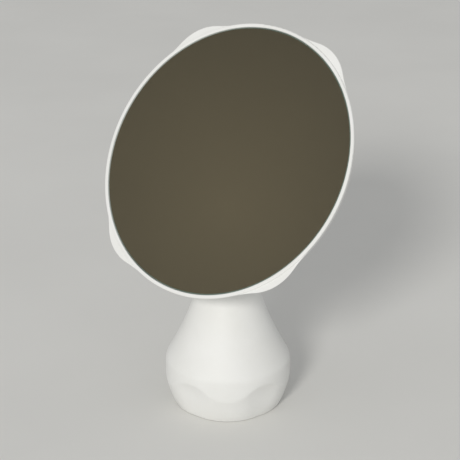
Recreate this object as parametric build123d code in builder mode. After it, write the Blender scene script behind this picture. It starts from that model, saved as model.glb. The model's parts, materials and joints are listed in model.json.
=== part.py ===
from build123d import *
from math import acos, cos, radians, sin
import os

# Round table mirror on a bottle-shaped ceramic base, in millimetres.
# The origin is on the table, on the base's own axis. +Z is up and -Y is the base's front.
# The head swivels on the neck about +Z and tilts on a level pin behind the glass.

# ---- head: glass, lip and shell ----
pocket_radius = 100.0
glass_gap = 0.3
glass_thickness = 2.0
glass_arris = 0.6
tape_thickness = 0.5
tape_width = 9.0
tape_margin = 1.2
lip_proud = 0.9
lip_wall = 2.6
lip_round = 0.6
rim_depth = 4.4
rim_draft = 1.5
ear_front_depth = 0.3
ear_rise = 5.2
ear_back_rise = 3.4
ear_radius = 36.0
ear_blend = 110.0
head_depth = 26.0
back_radius = 44.0
back_ear_rise = 0.6
back_round = 5.0
pocket_ledge = 12.0
cavity_step = 4.0
cavity_floor_radius = 40.0
back_wall = 4.0

# ---- tilt joint ----
pivot_below = 57.0
pivot_reach = 11.8
rest_lean = 32.8
rest_swivel = 36.4
pin_radius = 3.0
pin_clearance = 0.05
pin_head_radius = 5.5
pin_head_height = 3.2
pin_socket_width = 3.0
pin_socket_depth = 1.8
pin_end_spare = 5.0
tongue_width = 8.0
eye_radius = 9.0
eye_bush_wall = 1.0
washer_thickness = 0.8
washer_radius = 8.5
joint_gap = 0.1
cheek_thickness = 5.0
cheek_radius = 9.0
cheek_foot_width = 26.0
spring_washer_thickness = 1.0
spring_washer_radius = 6.0
cap_nut_width = 10.0
cap_nut_height = 4.5
cap_dome_radius = 4.3
cap_dome_height = 4.0
cap_dome_round = 3.2

# ---- bracket on the head's back ----
gasket_thickness = 0.8
bracket_width = 40.0
bracket_height = 34.0
bracket_thickness = 3.5
bracket_corner = 6.0
bracket_centre_below = 14.0
gusset_top_margin = 4.0
anchor_thickness = 2.5
anchor_margin = 1.5
screw_spacing_x = 28.0
screw_spacing_y = 20.0
screw_radius = 2.0
screw_thread_gap = 0.05
screw_hole_gap = 0.3
screw_head_radius = 3.8
screw_head_height = 2.2
screw_head_round = 1.2
screw_socket_width = 2.5
screw_socket_depth = 1.3
screw_end_spare = 0.4

# ---- base shell ----
foot_lift = 0.3
foot_radius = 38.5
foot_round = 0.6
scoop_mid_swell = 8.0
scoop_mid_height = 20.0
scoop_top_swell = 10.8
scoop_top_height = 40.0
scoop_clearance = 30.0
belly_height = 33.6
belly_half_width = 46.3
belly_swell = 2.5
corner_share = 0.5
shoulder_bow = 0.32
shoulder_sections = 6
neck_length = 8.1
neck_half_width = 23.1
neck_swell = 0.1
neck_height = 99.0
neck_round = 0.8
foot_wall = 3.8
ledge_width = 3.4
inner_shoulder = 50.0
neck_wall = 5.6
bore_depth = 11.0

# ---- foot: plate, pad and clamp rod ----
plate_gap = 0.4
plate_thickness = 2.0
pad_thickness = 2.0
well_radius = 11.0
well_roof_height = 12.0
rod_radius = 4.0
rod_hole_gap = 0.5
thread_gap = 0.05
rod_end_spare = 0.7
clamp_washer_radius = 9.0
clamp_washer_thickness = 1.6
hex_width = 13.0
clamp_nut_height = 6.5

# ---- ballast ----
ballast_gap = 0.5
ballast_top_gap = 2.5

# ---- neck plug and swivel ----
plug_gap = 0.3
plug_flange_height = 3.0
plug_length = 29.5
plug_chamber_radius = 11.0
plug_chamber_ceiling = 12.0
spindle_radius = 4.0
spindle_clearance = 0.04
spindle_end_spare = 0.5
bush_wall = 2.0
bush_fit_gap = 0.05
bush_flange_thickness = 1.0
upper_flange_radius = 12.0
lower_flange_radius = 9.0
upper_bush_length = 7.0
lower_bush_length = 4.8
wave_washer_thickness = 1.0
wave_washer_radius = 8.0
lock_nut_height = 8.0
anchor_nut_height = 6.0
anchor_nut_gap = 0.1
yoke_inset = 0.2
yoke_skirt_wall = 1.6
yoke_floor = 5.0
yoke_edge = 1.5
yoke_skirt_gap = 0.8
yoke_neck_gap = 0.6
pivot_rise = 15.0
cheek_root = 1.0

# How far a cut runs past the face that it leaves.
cut_spare = 1.0

# The ears' directions round the glass, clockwise from its top.
ear_turns = (33.6, 136.0, 218.6, 326.3)

# ---- radii that follow from the glass, the foot and the neck ----
lip_radius = pocket_radius + lip_wall
plate_radius = foot_radius - foot_wall - plate_gap
inner_radius = foot_radius - foot_wall - ledge_width
bore_radius = neck_half_width - neck_wall
yoke_radius = neck_half_width - yoke_inset
skirt_radius = yoke_radius - yoke_skirt_wall
plug_flange_radius = skirt_radius - yoke_skirt_gap

# ---- heights up the base's axis, and the places that follow from them ----
neck_start = neck_height - neck_length
bore_start = neck_height - bore_depth
plug_top = neck_height + plug_flange_height
yoke_bottom = plug_top + bush_flange_thickness + joint_gap
yoke_top = yoke_bottom + yoke_floor
pivot_height = yoke_top + pivot_rise
chamber_ceiling = plug_top - plug_chamber_ceiling
wave_washer_top = chamber_ceiling - bush_flange_thickness - joint_gap
lock_nut_top = wave_washer_top - wave_washer_thickness
plug_bottom = plug_top - plug_length
anchor_nut_top = plug_bottom + anchor_nut_height
ballast_top = plug_bottom - ballast_top_gap
ledge_height = pad_thickness + plate_thickness
clamp_nut_top = well_roof_height - clamp_washer_thickness
rod_bottom = clamp_nut_top - clamp_nut_height - rod_end_spare

# ---- depths behind the glass's face ----
pocket_floor = glass_thickness + tape_thickness
anchor_back = head_depth - back_wall
anchor_front = anchor_back - anchor_thickness
bracket_front = head_depth + gasket_thickness
bracket_back = bracket_front + bracket_thickness
pivot_behind = bracket_back + pivot_reach

lean = radians(rest_lean)
swivel = radians(rest_swivel)
across = Vector(cos(swivel), -sin(swivel), 0)
ahead = Vector(-sin(swivel), -cos(swivel), 0)
facing = ahead * cos(lean) + Vector(0, 0, sin(lean))
upward = Vector(0, 0, cos(lean)) - ahead * sin(lean)
pivot = Vector(0, 0, pivot_height)
mirror_centre = pivot + upward * pivot_below + facing * pivot_behind

# On mirror_plane X runs across the glass, Y up it and Z towards the viewer, from the glass's face.
mirror_plane = Plane(origin=mirror_centre, x_dir=across, z_dir=facing)
# On head_profile_plane X is a radius from the glass's axis and Y runs towards the viewer.
head_profile_plane = Plane(origin=mirror_centre, x_dir=across, z_dir=-upward)
head_axis = Axis(mirror_centre, facing)
# pin_plane stands upright on the pin's axis, and tilt_plane leans on it as the head does.
pin_plane = Plane(origin=pivot, x_dir=-ahead, z_dir=across)
pin_axis = Axis(pivot, across)
tilt_plane = Plane(origin=pivot, x_dir=-facing, z_dir=across)


def outline(points, plane=Plane.XZ):
    """Closed flat profile through points on a plane."""
    with BuildSketch(plane) as profile:
        with BuildLine():
            Polyline(*points, close=True)
        make_face()
    return profile.sketch


def ring(plane, outer, inner):
    """Flat ring on a plane."""
    with BuildSketch(plane) as profile:
        Circle(outer)
        Circle(inner, mode=Mode.SUBTRACT)
    return profile.sketch


def hex_ring(plane, width, inner):
    """Hexagon on a plane, given across its flats, with a round hole."""
    with BuildSketch(plane) as profile:
        RegularPolygon(width / 2, 6, major_radius=False)
        Circle(inner, mode=Mode.SUBTRACT)
    return profile.sketch


def head_outline(depth, round_radius, rise):
    """Circle with four soft ears on a plane behind the glass, drawn with tangent arcs."""
    scale = round_radius / lip_radius
    tip = ear_radius * scale
    blend = ear_blend * scale
    reach = round_radius + rise - tip
    blend_reach = round_radius + blend
    spread = acos((reach**2 + blend_reach**2 - (tip + blend) ** 2) / (2 * reach * blend_reach))
    flanks = []
    for turn in ear_turns:
        ear_centre = Vector(sin(radians(turn)), cos(radians(turn))) * reach
        for side in (-1, 1):
            bearing = radians(turn) + side * spread
            blend_centre = Vector(sin(bearing), cos(bearing)) * blend_reach
            on_round = blend_centre * (round_radius / blend_reach)
            on_ear = ear_centre + (blend_centre - ear_centre) * (tip / (tip + blend))
            flanks.append((on_round, on_ear))
    with BuildSketch(mirror_plane.offset(-depth)) as profile:
        with BuildLine():
            for number in range(len(ear_turns)):
                rising, falling = flanks[2 * number : 2 * number + 2]
                following = flanks[(2 * number + 2) % len(flanks)]
                RadiusArc(rising[0], rising[1], -blend)
                RadiusArc(rising[1], falling[1], tip)
                RadiusArc(falling[1], falling[0], -blend)
                RadiusArc(falling[0], following[0], round_radius)
        make_face()
    return profile.sketch


def screw_circles(depth, radius):
    """Four circles on the bracket's screw centres, at a depth behind the glass."""
    with BuildSketch(mirror_plane.offset(-depth)) as profile:
        with Locations((0, -bracket_centre_below)):
            with GridLocations(screw_spacing_x, screw_spacing_y, 2, 2):
                Circle(radius)
    return profile.sketch


def screw_sockets(depth):
    """Four hexagons on the screw centres."""
    with BuildSketch(mirror_plane.offset(-depth)) as profile:
        with Locations((0, -bracket_centre_below)):
            with GridLocations(screw_spacing_x, screw_spacing_y, 2, 2):
                RegularPolygon(screw_socket_width / 2, 6, major_radius=False)
    return profile.sketch


def pad_outline(depth, margin):
    """Rounded rectangle of the bracket's plate, drawn in by a margin."""
    with BuildSketch(mirror_plane.offset(-depth)) as profile:
        with Locations((0, -bracket_centre_below)):
            RectangleRounded(bracket_width - 2 * margin, bracket_height - 2 * margin, bracket_corner)
    return profile.sketch


def base_outline(height, share):
    """Round section cut by four soft-edged flats, drawn in from the belly to the neck by a share."""
    drawn = share + shoulder_bow * share * (1 - share)
    half_width = belly_half_width + (neck_half_width - belly_half_width) * drawn
    radius = half_width + belly_swell + (neck_swell - belly_swell) * drawn
    with BuildSketch(Plane.XY.offset(height)) as profile:
        Circle(radius)
        Rectangle(2 * half_width, 2 * half_width, mode=Mode.INTERSECT)
        fillet(profile.vertices(), corner_share * radius)
    return profile.sketch


# ======== head ========
glass_radius = pocket_radius - glass_gap

with BuildPart() as mirror_glass:
    with BuildSketch(mirror_plane.offset(-glass_thickness)):
        Circle(glass_radius)
    extrude(amount=glass_thickness)
    chamfer(mirror_glass.edges(), glass_arris)

with BuildPart() as adhesive_ring:
    tape_outer = glass_radius - tape_margin
    extrude(ring(mirror_plane.offset(-pocket_floor), tape_outer, tape_outer - tape_width), tape_thickness)

with BuildPart() as head_shell:
    # Ears: the four-eared outline, drawn in behind its front edge so that the edge stays slim.
    ear_front = head_outline(ear_front_depth, lip_radius, ear_rise)
    ear_back = head_outline(rim_depth, lip_radius - rim_draft, ear_back_rise)
    loft([ear_front.face(), ear_back.face()], ruled=True)
    # Back: the same outline drawn in to a nearly round flat.
    loft([ear_back.face(), head_outline(head_depth, back_radius, back_ear_rise).face()], ruled=True)
    fillet(head_shell.edges().group_by(head_axis)[0], back_round)
    # Lip: a round step in front of the ears.
    with BuildSketch(mirror_plane.offset(-ear_front_depth)):
        Circle(lip_radius)
    extrude(amount=ear_front_depth + lip_proud)
    hollow = [
        (0, lip_proud + cut_spare),
        (pocket_radius, lip_proud + cut_spare),
        (pocket_radius, -pocket_floor),
        (pocket_radius - pocket_ledge, -pocket_floor),
        (pocket_radius - pocket_ledge, -cavity_step),
        (cavity_floor_radius, -anchor_back),
        (0, -anchor_back),
    ]
    revolve(outline(hollow, head_profile_plane), head_axis, mode=Mode.SUBTRACT)
    fillet(head_shell.edges().group_by(head_axis)[-1], lip_round)
    screw_holes = screw_circles(head_depth + cut_spare, screw_radius + screw_hole_gap)
    extrude(screw_holes, back_wall + 2 * cut_spare, mode=Mode.SUBTRACT)

with BuildPart() as anchor_plate:
    extrude(pad_outline(anchor_back, anchor_margin), anchor_thickness)
    extrude(screw_circles(anchor_back, screw_radius + screw_thread_gap), anchor_thickness, mode=Mode.SUBTRACT)

with BuildPart() as bracket_gasket:
    extrude(pad_outline(bracket_front, 0), gasket_thickness)
    extrude(screw_circles(bracket_front, screw_radius + screw_hole_gap), gasket_thickness, mode=Mode.SUBTRACT)

with BuildPart() as hinge_bracket:
    extrude(pad_outline(bracket_back, 0), bracket_thickness)
    # The tongue runs from the plate down and back to the pin's eye.
    tongue_root = -pivot_reach - bracket_thickness / 2
    tongue_low = pivot_below - bracket_centre_below - bracket_height / 2
    tongue_high = tongue_low + bracket_height - gusset_top_margin
    with BuildSketch(tilt_plane):
        with BuildLine():
            CenterArc((0, 0), eye_radius, 0, 360)
            Line((tongue_root, tongue_low), (tongue_root, tongue_high))
        make_hull()
    extrude(amount=tongue_width / 2, both=True)
    with BuildSketch(pin_plane):
        Circle(pin_radius + eye_bush_wall)
    extrude(amount=tongue_width, both=True, mode=Mode.SUBTRACT)
    extrude(screw_circles(bracket_back, screw_radius + screw_hole_gap), bracket_thickness, mode=Mode.SUBTRACT)

with BuildPart() as eye_bush:
    bush_plane = pin_plane.offset(-tongue_width / 2)
    bush_outer = pin_radius + eye_bush_wall - pin_clearance
    extrude(ring(bush_plane, bush_outer, pin_radius + pin_clearance), tongue_width)

with BuildPart() as bracket_screws:
    screw_tip = anchor_front - screw_end_spare
    extrude(screw_circles(bracket_back, screw_radius), bracket_back - screw_tip)
    extrude(screw_circles(bracket_back, screw_head_radius), -screw_head_height)
    fillet(bracket_screws.edges().group_by(head_axis)[0], screw_head_round)
    extrude(screw_sockets(bracket_back + screw_head_height), screw_socket_depth, mode=Mode.SUBTRACT)

# ======== yoke, pin and swivel ========
washer_inner_face = tongue_width / 2 + joint_gap
cheek_inner_face = washer_inner_face + washer_thickness
cheek_outer_face = cheek_inner_face + cheek_thickness
nut_face = cheek_outer_face + spring_washer_thickness
bush_outer_radius = spindle_radius + spindle_clearance + bush_wall

with BuildPart() as swivel_yoke:
    turned = [
        (spindle_radius + spindle_clearance, yoke_bottom),
        (skirt_radius, yoke_bottom),
        (skirt_radius, neck_height + yoke_neck_gap),
        (yoke_radius, neck_height + yoke_neck_gap),
        (yoke_radius, yoke_top - yoke_edge),
        (yoke_radius - yoke_edge, yoke_top),
        (spindle_radius + spindle_clearance, yoke_top),
    ]
    revolve(outline(turned), Axis.Z)
    for face_offset in (cheek_inner_face, -cheek_outer_face):
        with BuildSketch(pin_plane.offset(face_offset)):
            with BuildLine():
                CenterArc((0, 0), cheek_radius, 0, 360)
                for drop in (pivot_rise, pivot_rise + cheek_root):
                    Line((-cheek_foot_width / 2, -drop), (cheek_foot_width / 2, -drop))
            make_hull()
        extrude(amount=cheek_thickness)
    with BuildSketch(pin_plane):
        Circle(pin_radius + pin_clearance)
    extrude(amount=cheek_outer_face + cut_spare, both=True, mode=Mode.SUBTRACT)

with BuildPart() as friction_washers:
    for face_offset in (washer_inner_face, -cheek_inner_face):
        friction_plane = pin_plane.offset(face_offset)
        extrude(ring(friction_plane, washer_radius, pin_radius + pin_clearance), washer_thickness)

with BuildPart() as hinge_pin:
    pin_start = -cheek_outer_face
    pin_end = nut_face + pin_end_spare
    with BuildSketch(pin_plane.offset(pin_start)):
        Circle(pin_radius)
    extrude(amount=pin_end - pin_start)
    with BuildSketch(pin_plane.offset(pin_start - pin_head_height)):
        Circle(pin_head_radius)
    extrude(amount=pin_head_height)
    with BuildSketch(pin_plane.offset(pin_start - pin_head_height)):
        RegularPolygon(pin_socket_width / 2, 6, major_radius=False)
    extrude(amount=pin_socket_depth, mode=Mode.SUBTRACT)

with BuildPart() as spring_washer:
    spring_plane = pin_plane.offset(cheek_outer_face)
    extrude(ring(spring_plane, spring_washer_radius, pin_radius + pin_clearance), spring_washer_thickness)

with BuildPart() as cap_nut:
    with BuildSketch(pin_plane.offset(nut_face)):
        RegularPolygon(cap_nut_width / 2, 6, major_radius=False)
    extrude(amount=cap_nut_height)
    with BuildSketch(pin_plane.offset(nut_face + cap_nut_height)):
        Circle(cap_dome_radius)
    extrude(amount=cap_dome_height)
    fillet(cap_nut.edges().group_by(pin_axis)[-1], cap_dome_round)
    with BuildSketch(pin_plane.offset(nut_face)):
        Circle(pin_radius + thread_gap)
    extrude(amount=pin_end_spare + thread_gap, mode=Mode.SUBTRACT)

with BuildPart() as swivel_spindle:
    spindle_bottom = lock_nut_top - lock_nut_height - spindle_end_spare
    with BuildSketch(Plane.XY.offset(spindle_bottom)):
        Circle(spindle_radius)
    extrude(amount=yoke_top - spindle_bottom)

with BuildPart() as wave_washer:
    wave_plane = Plane.XY.offset(lock_nut_top)
    extrude(ring(wave_plane, wave_washer_radius, spindle_radius + thread_gap), wave_washer_thickness)

with BuildPart() as swivel_lock_nut:
    lock_plane = Plane.XY.offset(lock_nut_top - lock_nut_height)
    extrude(hex_ring(lock_plane, hex_width, spindle_radius + thread_gap), lock_nut_height)

# ======== base ========
with BuildPart() as base_shell:
    # Body: an upright belly, a slightly hollow shoulder that draws in to the neck, and the neck.
    extrude(base_outline(foot_lift, 0), belly_height - foot_lift)
    shoulder = []
    for step in range(shoulder_sections):
        share = step / (shoulder_sections - 1)
        shoulder.append(base_outline(belly_height + (neck_start - belly_height) * share, share).face())
    loft(shoulder)
    extrude(base_outline(neck_start, 1), neck_length)
    # Round foot: a bulging cone that leaves the scallops where it meets the belly.
    scoop_top_radius = foot_radius + scoop_top_swell
    with BuildSketch(Plane.XZ):
        with BuildLine():
            ThreePointArc(
                (foot_radius, foot_lift),
                (foot_radius + scoop_mid_swell, scoop_mid_height),
                (scoop_top_radius, scoop_top_height),
            )
            Polyline(
                (scoop_top_radius, scoop_top_height),
                (scoop_top_radius + scoop_clearance, scoop_top_height),
                (scoop_top_radius + scoop_clearance, neck_height),
                (0, neck_height),
                (0, foot_lift),
                (foot_radius, foot_lift),
            )
        make_face()
    revolve(axis=Axis.Z, mode=Mode.INTERSECT)
    fillet(base_shell.edges().group_by(Axis.Z)[0], foot_round)
    fillet(base_shell.edges().group_by(Axis.Z)[-1], neck_round)
    hollow = [
        (0, 0),
        (plate_radius + plate_gap, 0),
        (plate_radius + plate_gap, ledge_height),
        (inner_radius, ledge_height),
        (inner_radius, inner_shoulder),
        (bore_radius, bore_start),
        (bore_radius, neck_height + cut_spare),
        (0, neck_height + cut_spare),
    ]
    revolve(outline(hollow), Axis.Z, mode=Mode.SUBTRACT)

with BuildPart() as neck_plug:
    turned = [
        (bush_outer_radius + bush_fit_gap, plug_top),
        (plug_flange_radius, plug_top),
        (plug_flange_radius, neck_height),
        (bore_radius - plug_gap, neck_height),
        (bore_radius - plug_gap, plug_bottom),
        (plug_chamber_radius, plug_bottom),
        (plug_chamber_radius, chamber_ceiling),
        (bush_outer_radius + bush_fit_gap, chamber_ceiling),
    ]
    revolve(outline(turned), Axis.Z)

with BuildPart() as upper_bush:
    bush_inner_radius = spindle_radius + spindle_clearance
    turned = [
        (bush_inner_radius, plug_top - upper_bush_length),
        (bush_outer_radius, plug_top - upper_bush_length),
        (bush_outer_radius, plug_top),
        (upper_flange_radius, plug_top),
        (upper_flange_radius, plug_top + bush_flange_thickness),
        (bush_inner_radius, plug_top + bush_flange_thickness),
    ]
    revolve(outline(turned), Axis.Z)

with BuildPart() as lower_bush:
    turned = [
        (bush_inner_radius, chamber_ceiling - bush_flange_thickness),
        (lower_flange_radius, chamber_ceiling - bush_flange_thickness),
        (lower_flange_radius, chamber_ceiling),
        (bush_outer_radius, chamber_ceiling),
        (bush_outer_radius, chamber_ceiling + lower_bush_length),
        (bush_inner_radius, chamber_ceiling + lower_bush_length),
    ]
    revolve(outline(turned), Axis.Z)

with BuildPart() as rod_anchor:
    anchor_plane = Plane.XY.offset(plug_bottom)
    extrude(
        ring(anchor_plane, plug_chamber_radius - anchor_nut_gap, rod_radius + thread_gap), anchor_nut_height
    )

with BuildPart() as tie_rod:
    with BuildSketch(Plane.XY.offset(rod_bottom)):
        Circle(rod_radius)
    extrude(amount=anchor_nut_top - rod_bottom)

with BuildPart() as ballast_weight:
    well_clear_radius = well_radius + plate_thickness + ballast_gap
    well_clear_height = well_roof_height + plate_thickness + ballast_gap
    taper_share = (ballast_top - inner_shoulder) / (bore_start - inner_shoulder)
    ballast_top_radius = inner_radius + (bore_radius - inner_radius) * taper_share - ballast_gap
    turned = [
        (well_clear_radius, ledge_height),
        (inner_radius - ballast_gap, ledge_height),
        (inner_radius - ballast_gap, inner_shoulder),
        (ballast_top_radius, ballast_top),
        (rod_radius + rod_hole_gap, ballast_top),
        (rod_radius + rod_hole_gap, well_clear_height),
        (well_clear_radius, well_clear_height),
    ]
    revolve(outline(turned), Axis.Z)

with BuildPart() as base_plate:
    turned = [
        (well_radius, pad_thickness),
        (plate_radius, pad_thickness),
        (plate_radius, ledge_height),
        (well_radius + plate_thickness, ledge_height),
        (well_radius + plate_thickness, well_roof_height + plate_thickness),
        (rod_radius + rod_hole_gap, well_roof_height + plate_thickness),
        (rod_radius + rod_hole_gap, well_roof_height),
        (well_radius, well_roof_height),
    ]
    revolve(outline(turned), Axis.Z)

with BuildPart() as clamp_washer:
    washer_plane = Plane.XY.offset(clamp_nut_top)
    extrude(ring(washer_plane, clamp_washer_radius, rod_radius + rod_hole_gap), clamp_washer_thickness)

with BuildPart() as clamp_nut:
    nut_plane = Plane.XY.offset(clamp_nut_top - clamp_nut_height)
    extrude(hex_ring(nut_plane, hex_width, rod_radius + thread_gap), clamp_nut_height)

with BuildPart() as foot_pad:
    with BuildSketch(Plane.XY):
        Circle(plate_radius)
    extrude(amount=pad_thickness)

pieces = {
    "mirror_glass": mirror_glass,
    "adhesive_ring": adhesive_ring,
    "head_shell": head_shell,
    "anchor_plate": anchor_plate,
    "bracket_gasket": bracket_gasket,
    "hinge_bracket": hinge_bracket,
    "eye_bush": eye_bush,
    "bracket_screws": bracket_screws,
    "swivel_yoke": swivel_yoke,
    "friction_washers": friction_washers,
    "hinge_pin": hinge_pin,
    "spring_washer": spring_washer,
    "cap_nut": cap_nut,
    "swivel_spindle": swivel_spindle,
    "wave_washer": wave_washer,
    "swivel_lock_nut": swivel_lock_nut,
    "base_shell": base_shell,
    "neck_plug": neck_plug,
    "upper_bush": upper_bush,
    "lower_bush": lower_bush,
    "rod_anchor": rod_anchor,
    "tie_rod": tie_rod,
    "ballast_weight": ballast_weight,
    "base_plate": base_plate,
    "clamp_washer": clamp_washer,
    "clamp_nut": clamp_nut,
    "foot_pad": foot_pad,
}

os.makedirs("parts", exist_ok=True)
for name, piece in pieces.items():
    piece.part.label = name
    export_step(piece.part, f"parts/{name}.step")
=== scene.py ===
import json
from math import cos, radians, sin

import bpy
import numpy as np
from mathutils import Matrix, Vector


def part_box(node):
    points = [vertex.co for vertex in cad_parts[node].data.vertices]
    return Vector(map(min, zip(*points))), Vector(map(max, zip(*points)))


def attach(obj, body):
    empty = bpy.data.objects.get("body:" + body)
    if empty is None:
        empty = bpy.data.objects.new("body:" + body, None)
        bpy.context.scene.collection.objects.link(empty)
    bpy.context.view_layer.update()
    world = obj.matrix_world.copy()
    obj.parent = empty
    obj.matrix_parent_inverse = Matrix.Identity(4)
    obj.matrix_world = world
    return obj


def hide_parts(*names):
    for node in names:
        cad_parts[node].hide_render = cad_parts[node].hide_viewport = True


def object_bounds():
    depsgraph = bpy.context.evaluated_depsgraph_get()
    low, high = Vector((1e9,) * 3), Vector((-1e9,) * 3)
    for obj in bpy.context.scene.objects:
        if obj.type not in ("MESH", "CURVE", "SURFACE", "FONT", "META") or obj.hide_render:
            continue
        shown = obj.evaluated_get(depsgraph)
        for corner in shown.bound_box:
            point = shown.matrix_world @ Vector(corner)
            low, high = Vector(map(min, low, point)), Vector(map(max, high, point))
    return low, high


# Round table mirror on a bottle-shaped base, dressed for its photograph.
# Metres, in the CAD frame. Left and right are the viewer's.

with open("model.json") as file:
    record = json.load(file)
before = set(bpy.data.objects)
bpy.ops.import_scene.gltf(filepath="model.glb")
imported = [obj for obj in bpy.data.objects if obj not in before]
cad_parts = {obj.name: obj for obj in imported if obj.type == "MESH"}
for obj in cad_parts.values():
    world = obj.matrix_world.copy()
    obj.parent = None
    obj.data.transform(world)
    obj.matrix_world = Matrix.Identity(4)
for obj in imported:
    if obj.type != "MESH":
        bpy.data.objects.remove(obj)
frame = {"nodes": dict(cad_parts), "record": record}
nodes = frame["nodes"]
cad_low, cad_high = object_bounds()

# ---- camera, fitted to the photograph: place, degrees below level, focal length ----
camera_place = (0.00169, -0.9525, 0.5149)
camera_pitch = 21.62
focal_pixels = 1400.0
picture_pixels = 460.0
sensor_width = 36.0

# ---- key light: broad, from the viewer's left, where the photograph's sun stands ----
key_direction = Vector((-0.317, -1.0, 0.515)).normalized()
key_distance = 12.0
key_size = 2.6
key_power = 765.0
key_colour = (1.0, 0.985, 0.955)

# ---- world: what lights the object, and what the camera and reflections see of it ----
world_strength = 0.50
world_colour = (0.98, 0.99, 1.0)
backdrop_colour = (0.52, 0.517, 0.492)

# ---- stage ----
stage_roughness = 0.9
stage_gloss = 0.1
floor_size = 12.0
floor_colour = (0.74, 0.735, 0.71)
floor_mottle_size = 0.2
floor_mottle_share = 0.97

# What the glass reflects from the photograph's side: a dark wall high on the viewer's left,
# a little lighter around one place.
card_direction = Vector((-0.8148, -0.1518, 0.5595)).normalized()
card_distance = 1.5
card_size = 2.2
card_colour = (0.236, 0.200, 0.133)
card_edge_colour = (0.158, 0.137, 0.095)
card_bright_place = (-0.06, -0.06, 0.0)
card_bright_radius = 0.03
card_fade = 0.36
card_mottle_size = 0.3
card_mottle_share = 0.06

# ---- the way that the glass faces in the rest pose ----
rest_lean = radians(32.8)
rest_swivel = radians(36.4)
ahead = Vector((-sin(rest_swivel), -cos(rest_swivel), 0))
facing = ahead * cos(rest_lean) + Vector((0, 0, sin(rest_lean)))

# ---- the base's skin: a round bottle whose foot is cut by soft facets ----
foot_lift = 0.0003
foot_round = 0.0006
facet_count = 5
facet_turn = radians(-0.6)
facet_heights = (0.0003, 0.015, 0.030, 0.044)
facet_radii = (0.0387, 0.0430, 0.0471, 0.0588)
facet_curve = np.polyfit(facet_heights, facet_radii, len(facet_heights) - 1)
facet_top = facet_heights[-1]
corner_share_foot = 0.87
corner_share_top = 0.46
crease_softness = 0.0004
belly_radius = 0.0472
belly_top = 0.0367
belly_softness = 0.036
shoulder_bow = 0.35
neck_start = 0.092
neck_radius = 0.0231
neck_top = 0.099
neck_round = 0.0008
base_bore = 0.0175
base_bore_start = 0.088
base_inside = 0.0313
base_inside_top = 0.050
base_ledge = 0.0347
base_ledge_height = 0.004
base_rows = 150
base_steps = 300
round_steps = 6


class Nodes:
    """A material's node tree, with short calls for the nodes used here."""

    def __init__(self, name):
        self.material = bpy.data.materials.new(name)
        self.material.use_nodes = True
        self.tree = self.material.node_tree
        self.shader = self.tree.nodes["Principled BSDF"]
        self.coordinates = self.add("ShaderNodeTexCoord")
        self.place = self.coordinates.outputs["Object"]

    def add(self, kind, **values):
        node = self.tree.nodes.new(kind)
        for key, value in values.items():
            setattr(node, key, value)
        return node

    def link(self, source, target):
        self.tree.links.new(source, target)

    def set(self, **values):
        """Values on the shader's own sockets, with spaces written as underscores."""
        for key, value in values.items():
            self.shader.inputs[key.replace("_", " ")].default_value = value

    def stretched(self, scale):
        mapping = self.add("ShaderNodeMapping")
        mapping.inputs["Scale"].default_value = scale
        self.link(self.place, mapping.inputs["Vector"])
        return mapping.outputs["Vector"]

    def noise(self, size, detail=3.0, rough=0.5, place=None):
        """Noise whose features are about size metres across."""
        node = self.add("ShaderNodeTexNoise")
        node.inputs["Scale"].default_value = 1.0 / size
        node.inputs["Detail"].default_value = detail
        node.inputs["Roughness"].default_value = rough
        self.link(place or self.place, node.inputs["Vector"])
        return node.outputs["Fac"]

    def specks(self, size):
        """Distance to scattered points about size metres apart."""
        node = self.add("ShaderNodeTexVoronoi")
        node.inputs["Scale"].default_value = 1.0 / size
        self.link(self.place, node.inputs["Vector"])
        return node.outputs["Distance"]

    def ramp(self, source, start, end, low=0.0, high=1.0):
        """Source mapped from start..end to low..high."""
        node = self.add("ShaderNodeMapRange")
        for key, value in (
            ("From Min", start),
            ("From Max", end),
            ("To Min", low),
            ("To Max", high),
        ):
            node.inputs[key].default_value = value
        self.link(source, node.inputs["Value"])
        return node.outputs["Result"]

    def blend(self, share, first, second):
        """Mix of two colours, each a value or a socket."""
        node = self.add("ShaderNodeMix", data_type="RGBA")
        self.link(share, node.inputs[0])
        for socket, colour in ((node.inputs[6], first), (node.inputs[7], second)):
            if isinstance(colour, tuple):
                socket.default_value = (*colour, 1.0)
            else:
                self.link(colour, socket)
        return node.outputs[2]

    def total(self, first, second, share):
        """First plus share times second."""
        node = self.add("ShaderNodeMath", operation="MULTIPLY_ADD")
        self.link(second, node.inputs[0])
        node.inputs[1].default_value = share
        self.link(first, node.inputs[2])
        return node.outputs[0]

    def product(self, first, second):
        node = self.add("ShaderNodeMath", operation="MULTIPLY")
        self.link(first, node.inputs[0])
        self.link(second, node.inputs[1])
        return node.outputs[0]

    def measure(self, operation, source, vector):
        """Dot product with a vector, or distance from it."""
        node = self.add("ShaderNodeVectorMath", operation=operation)
        self.link(source, node.inputs[0])
        node.inputs[1].default_value = vector
        return node.outputs["Value"]

    def bump(self, height, depth, strength):
        node = self.add("ShaderNodeBump")
        node.inputs["Strength"].default_value = strength
        node.inputs["Distance"].default_value = depth
        self.link(height, node.inputs["Height"])
        self.link(node.outputs["Normal"], self.shader.inputs["Normal"])

    def colour(self, source):
        self.link(source, self.shader.inputs["Base Color"])

    def roughness(self, source):
        self.link(source, self.shader.inputs["Roughness"])


def ceramic():
    """Matt white slip-cast ceramic: faint mottling, fine grain and a hand-smoothed surface."""
    m = Nodes("ceramic_white")
    mottle = m.noise(size=0.030, detail=4.0, rough=0.55)
    grain = m.noise(size=0.0007, detail=3.0, rough=0.6)
    wave = m.noise(size=0.009, detail=2.0, rough=0.4)
    shade = m.ramp(m.total(mottle, grain, share=0.25), start=0.35, end=0.85)
    m.colour(m.blend(shade, (0.79, 0.79, 0.765), (0.83, 0.832, 0.815)))
    m.roughness(m.ramp(mottle, start=0.3, end=0.7, low=0.50, high=0.62))
    m.set(Specular_IOR_Level=0.35)
    m.bump(m.total(wave, grain, share=0.12), depth=0.00006, strength=0.6)
    return m.material


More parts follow.
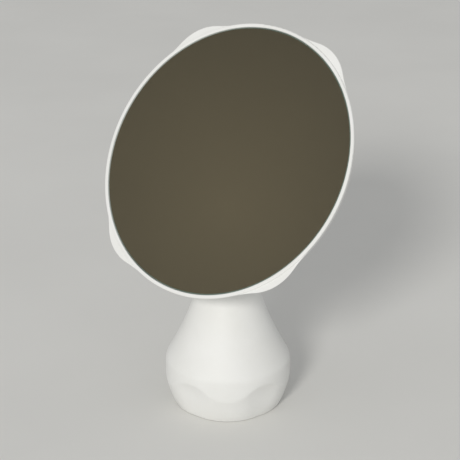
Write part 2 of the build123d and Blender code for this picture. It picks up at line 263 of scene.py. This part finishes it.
def silvered_glass():
    """Mirror: silver under clear glass, with faint wiped haze, a little dust and a ground edge."""
    m = Nodes("mirror")
    haze = m.noise(size=0.035, detail=5.0, rough=0.6, place=m.stretched((1.0, 1.0, 0.45)))
    dust = m.ramp(m.specks(size=0.006), start=0.018, end=0.03, low=1.0, high=0.0)
    kept = m.ramp(m.noise(size=0.011, detail=1.0), start=0.60, end=0.64)
    silver = m.blend(m.product(dust, kept), (0.93, 0.94, 0.925), (0.60, 0.59, 0.56))
    # The mesh's own normals turn with the head, so the front stays silver at every pose.
    front = m.measure("DOT_PRODUCT", m.coordinates.outputs["Normal"], facing)
    m.colour(m.blend(m.ramp(front, start=0.95, end=0.99), (0.42, 0.52, 0.47), silver))
    m.roughness(m.ramp(haze, start=0.35, end=0.75, low=0.012, high=0.035))
    m.set(Metallic=1.0)
    return m.material


def painted_metal():
    """White powder coat with a fine orange peel."""
    m = Nodes("white_metal")
    wave = m.noise(size=0.0016, detail=2.0, rough=0.4)
    shade = m.ramp(m.noise(size=0.012), start=0.35, end=0.7)
    m.colour(m.blend(shade, (0.76, 0.76, 0.74), (0.81, 0.81, 0.79)))
    m.roughness(m.ramp(wave, start=0.3, end=0.7, low=0.34, high=0.46))
    m.bump(wave, depth=0.00004, strength=0.5)
    return m.material


def metal(name, first, second, rough, streak, size):
    """Bare metal whose tool marks run along one direction."""
    m = Nodes(name)
    marks = m.noise(size, detail=4.0, rough=0.65, place=m.stretched(streak))
    cloud = m.noise(size=0.006)
    shade = m.ramp(m.total(cloud, marks, share=0.6), start=0.5, end=1.1)
    m.colour(m.blend(shade, first, second))
    m.roughness(m.ramp(marks, start=0.3, end=0.7, low=rough - 0.07, high=rough + 0.09))
    m.set(Metallic=1.0)
    m.bump(marks, depth=0.00002, strength=0.4)
    return m.material


def plain(name, first, second, rough, grain, depth, sheen=0.0):
    """Nylon, rubber, tape or felt: a soft two-tone mottle with its own grain."""
    m = Nodes(name)
    fine = m.noise(grain, detail=4.0, rough=0.6)
    cloud = m.noise(size=14 * grain)
    shade = m.ramp(m.total(cloud, fine, share=0.5), start=0.5, end=1.0)
    m.colour(m.blend(shade, first, second))
    m.roughness(m.ramp(fine, start=0.3, end=0.7, low=rough - 0.06, high=min(rough + 0.08, 1.0)))
    m.set(Sheen_Weight=sheen)
    m.bump(fine, depth, strength=0.7)
    return m.material


def cast_iron():
    """Sand-cast iron with a dark skin and warmer high spots."""
    m = Nodes("cast_iron")
    sand = m.noise(size=0.0012, detail=5.0, rough=0.65)
    shade = m.ramp(sand, start=0.4, end=0.75)
    m.colour(m.blend(shade, (0.035, 0.035, 0.036), (0.12, 0.105, 0.095)))
    m.roughness(m.ramp(sand, start=0.3, end=0.7, low=0.62, high=0.85))
    m.set(Metallic=0.6)
    m.bump(sand, depth=0.00025, strength=0.8)
    return m.material


def floor_surface():
    """Plain pale floor with a faint mottle."""
    m = Nodes("floor")
    shade = m.ramp(m.noise(floor_mottle_size), start=0.35, end=0.65)
    dark = tuple(floor_mottle_share * part for part in floor_colour)
    m.colour(m.blend(shade, dark, floor_colour))
    m.set(Roughness=stage_roughness, Specular_IOR_Level=stage_gloss)
    return m.material


def wall_surface():
    """Dark wall that is a little lighter around one place."""
    m = Nodes("dark_wall")
    away = m.measure("DISTANCE", m.place, card_bright_place)
    mottled = m.total(away, m.noise(card_mottle_size, detail=2.0), card_mottle_share)
    shade = m.ramp(mottled, start=card_bright_radius, end=card_fade)
    m.colour(m.blend(shade, card_colour, card_edge_colour))
    m.set(Roughness=stage_roughness, Specular_IOR_Level=stage_gloss)
    return m.material


def make_materials():
    """One material for each slot of the record."""
    return {
        "ceramic_white": ceramic(),
        "mirror": silvered_glass(),
        "white_metal": painted_metal(),
        "steel": metal(
            "steel",
            (0.50, 0.50, 0.49),
            (0.66, 0.66, 0.65),
            rough=0.30,
            streak=(1.0, 1.0, 9.0),
            size=0.0012,
        ),
        "zinc_steel": metal(
            "zinc_steel",
            (0.52, 0.53, 0.53),
            (0.64, 0.65, 0.68),
            rough=0.36,
            streak=(1.0, 1.0, 1.0),
            size=0.002,
        ),
        "turned_aluminium": metal(
            "turned_aluminium",
            (0.68, 0.68, 0.69),
            (0.80, 0.80, 0.81),
            rough=0.28,
            streak=(1.0, 1.0, 14.0),
            size=0.0015,
        ),
        "nylon": plain(
            "nylon",
            (0.70, 0.69, 0.64),
            (0.80, 0.79, 0.75),
            rough=0.42,
            grain=0.0005,
            depth=0.00002,
        ),
        "black_rubber": plain(
            "black_rubber",
            (0.016, 0.016, 0.016),
            (0.035, 0.034, 0.033),
            rough=0.72,
            grain=0.0004,
            depth=0.00004,
        ),
        "tape": plain(
            "tape",
            (0.62, 0.62, 0.60),
            (0.74, 0.74, 0.72),
            rough=0.80,
            grain=0.0006,
            depth=0.00006,
        ),
        "cast_iron": cast_iron(),
        "felt": plain(
            "felt",
            (0.30, 0.285, 0.26),
            (0.47, 0.45, 0.41),
            rough=0.92,
            grain=0.0005,
            depth=0.00025,
            sheen=0.5,
        ),
    }


def dress(materials):
    """Each CAD node takes the material of its slot in the record."""
    for row in frame["record"]["subparts"]:
        mesh = nodes[row["node"]].data
        mesh.materials.clear()
        mesh.materials.append(materials[row["material_slot"]])


def bottle_radius(height):
    """Radius of the round bottle: an upright belly, a soft bend, a hollow shoulder and the neck."""
    over = (height - belly_top) / (neck_start - belly_top)
    share = (over + np.hypot(over, belly_softness)) / (1 + np.hypot(1, belly_softness))
    share = np.minimum(share, 1.0)
    drawn = share + shoulder_bow * share * (1 - share)
    return belly_radius + (neck_radius - belly_radius) * drawn


def facet_radius(turn, height):
    """Radius of the foot's facets: a polygon whose corners are rounder towards the foot."""
    half = np.pi / facet_count
    flat = np.polyval(facet_curve, np.minimum(height, facet_top))
    raised = np.clip(height / facet_top, 0, 1)
    corner = flat * (corner_share_foot + (corner_share_top - corner_share_foot) * raised)
    centre = (flat - corner) / np.cos(half)
    from_flat = np.abs((turn - facet_turn) % (2 * half) - half)
    from_corner = half - from_flat
    aside = centre * np.sin(from_corner)
    rounded = centre * np.cos(from_corner) + np.sqrt(np.maximum(corner**2 - aside**2, 0))
    straight = from_flat <= np.arctan2((flat - corner) * np.tan(half), flat)
    return np.where(straight, flat / np.cos(from_flat), rounded)


def skin_radius(turn, height):
    """Smaller of bottle and facets, with a soft crease where they meet."""
    bottle = bottle_radius(height)
    facets = facet_radius(turn, height)
    return (bottle + facets - np.hypot(bottle - facets, crease_softness)) / 2


def skin_rows(turns):
    """Rows up the outside, each with its radii and its height."""
    bends = np.linspace(0, np.pi / 2, round_steps)
    foot_start = foot_lift + foot_round
    rows = []
    for bend in bends[-2::-1]:
        radii = skin_radius(turns, foot_start) - foot_round * (1 - np.cos(bend))
        rows.append((radii, foot_lift + foot_round * (1 - np.sin(bend))))
    for height in np.linspace(foot_start, neck_top - neck_round, base_rows)[1:]:
        rows.append((skin_radius(turns, height), height))
    for bend in bends[1:]:
        radii = skin_radius(turns, neck_top) - neck_round * (1 - np.cos(bend))
        rows.append((radii, neck_top - neck_round * (1 - np.sin(bend))))
    return rows


def make_base_skin(material):
    """The base's shell as one closed ring mesh: the skin outside, the hollow and ledge inside."""
    turns = np.linspace(0, 2 * np.pi, base_steps, endpoint=False)
    rows = skin_rows(turns)
    smooth_rows = len(rows)
    for radius, height in (
        (base_bore, neck_top),
        (base_bore, base_bore_start),
        (base_inside, base_inside_top),
        (base_inside, base_ledge_height),
        (base_ledge, base_ledge_height),
        (base_ledge, foot_lift),
    ):
        rows.append((np.full_like(turns, radius), height))
    points = []
    for radii, height in rows:
        level = np.full_like(turns, height)
        points.extend(np.stack([radii * np.sin(turns), -radii * np.cos(turns), level], -1).tolist())
    faces = []
    smooth = []
    for row in range(len(rows)):
        this, that = row * base_steps, (row + 1) % len(rows) * base_steps
        for step in range(base_steps):
            beside = (step + 1) % base_steps
            faces.append((this + step, this + beside, that + beside, that + step))
            smooth.append(row < smooth_rows - 1)
    mesh = bpy.data.meshes.new("base_skin")
    mesh.from_pydata(points, [], faces)
    mesh.polygons.foreach_set("use_smooth", smooth)
    mesh.materials.append(material)
    mesh.validate()
    skin = bpy.data.objects.new("base_skin", mesh)
    bpy.context.scene.collection.objects.link(skin)
    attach(skin, "base")
    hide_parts("base_shell")


def make_sheet(name, size, material):
    """Flat square of the stage, centred, facing +Z."""
    half = size / 2
    corners = [(-half, -half, 0), (half, -half, 0), (half, half, 0), (-half, half, 0)]
    mesh = bpy.data.meshes.new(name)
    mesh.from_pydata(corners, [], [(0, 1, 2, 3)])
    mesh.materials.append(material)
    piece = bpy.data.objects.new(name, mesh)
    bpy.context.scene.collection.objects.link(piece)
    return piece


def make_stage():
    """Pale floor, and the dark wall that only reflections see."""
    make_sheet("floor", floor_size, floor_surface())
    card = make_sheet("dark_wall", card_size, wall_surface())
    glass_low, glass_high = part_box("mirror_glass")
    card.location = (glass_low + glass_high) / 2 + card_direction * card_distance
    card.rotation_mode = "QUATERNION"
    card.rotation_quaternion = (-card_direction).to_track_quat("Z", "Y")
    card.visible_camera = False
    card.visible_shadow = False
    card.visible_diffuse = False


def make_key():
    """One broad lamp that faces the middle of the object."""
    lamp = bpy.data.lights.new("key", "AREA")
    lamp.shape = "DISK"
    lamp.size = key_size
    lamp.energy = key_power
    lamp.color = key_colour
    key = bpy.data.objects.new("key", lamp)
    bpy.context.scene.collection.objects.link(key)
    key.location = key_direction * key_distance + Vector((0, 0, cad_high.z / 2))
    key.rotation_mode = "QUATERNION"
    key.rotation_quaternion = key_direction.to_track_quat("Z", "Y")


def make_world():
    """An even light, and a backdrop of the floor's tone for the camera and for reflections."""
    world = bpy.data.worlds.new("world")
    bpy.context.scene.world = world
    world.use_nodes = True
    tree = world.node_tree
    lighting = tree.nodes["Background"]
    lighting.inputs["Color"].default_value = (*world_colour, 1.0)
    lighting.inputs["Strength"].default_value = world_strength
    backdrop = tree.nodes.new("ShaderNodeBackground")
    backdrop.inputs["Color"].default_value = (*backdrop_colour, 1.0)
    path = tree.nodes.new("ShaderNodeLightPath")
    seen = tree.nodes.new("ShaderNodeMath")
    seen.operation = "MAXIMUM"
    choice = tree.nodes.new("ShaderNodeMixShader")
    for source, target in (
        (path.outputs["Is Camera Ray"], seen.inputs[0]),
        (path.outputs["Is Glossy Ray"], seen.inputs[1]),
        (seen.outputs[0], choice.inputs[0]),
        (lighting.outputs[0], choice.inputs[1]),
        (backdrop.outputs[0], choice.inputs[2]),
        (choice.outputs[0], tree.nodes["World Output"].inputs["Surface"]),
    ):
        tree.links.new(source, target)


def make_camera():
    data = bpy.data.cameras.new("camera")
    data.sensor_width = sensor_width
    data.lens = focal_pixels / picture_pixels * sensor_width
    camera = bpy.data.objects.new("camera", data)
    bpy.context.scene.collection.objects.link(camera)
    camera.location = camera_place
    camera.rotation_euler = (radians(90 - camera_pitch), 0, 0)
    bpy.context.scene.camera = camera


bpy.context.scene.view_settings.view_transform = "Standard"
make_camera()
make_key()
make_world()
make_stage()
materials = make_materials()
dress(materials)
make_base_skin(materials["ceramic_white"])
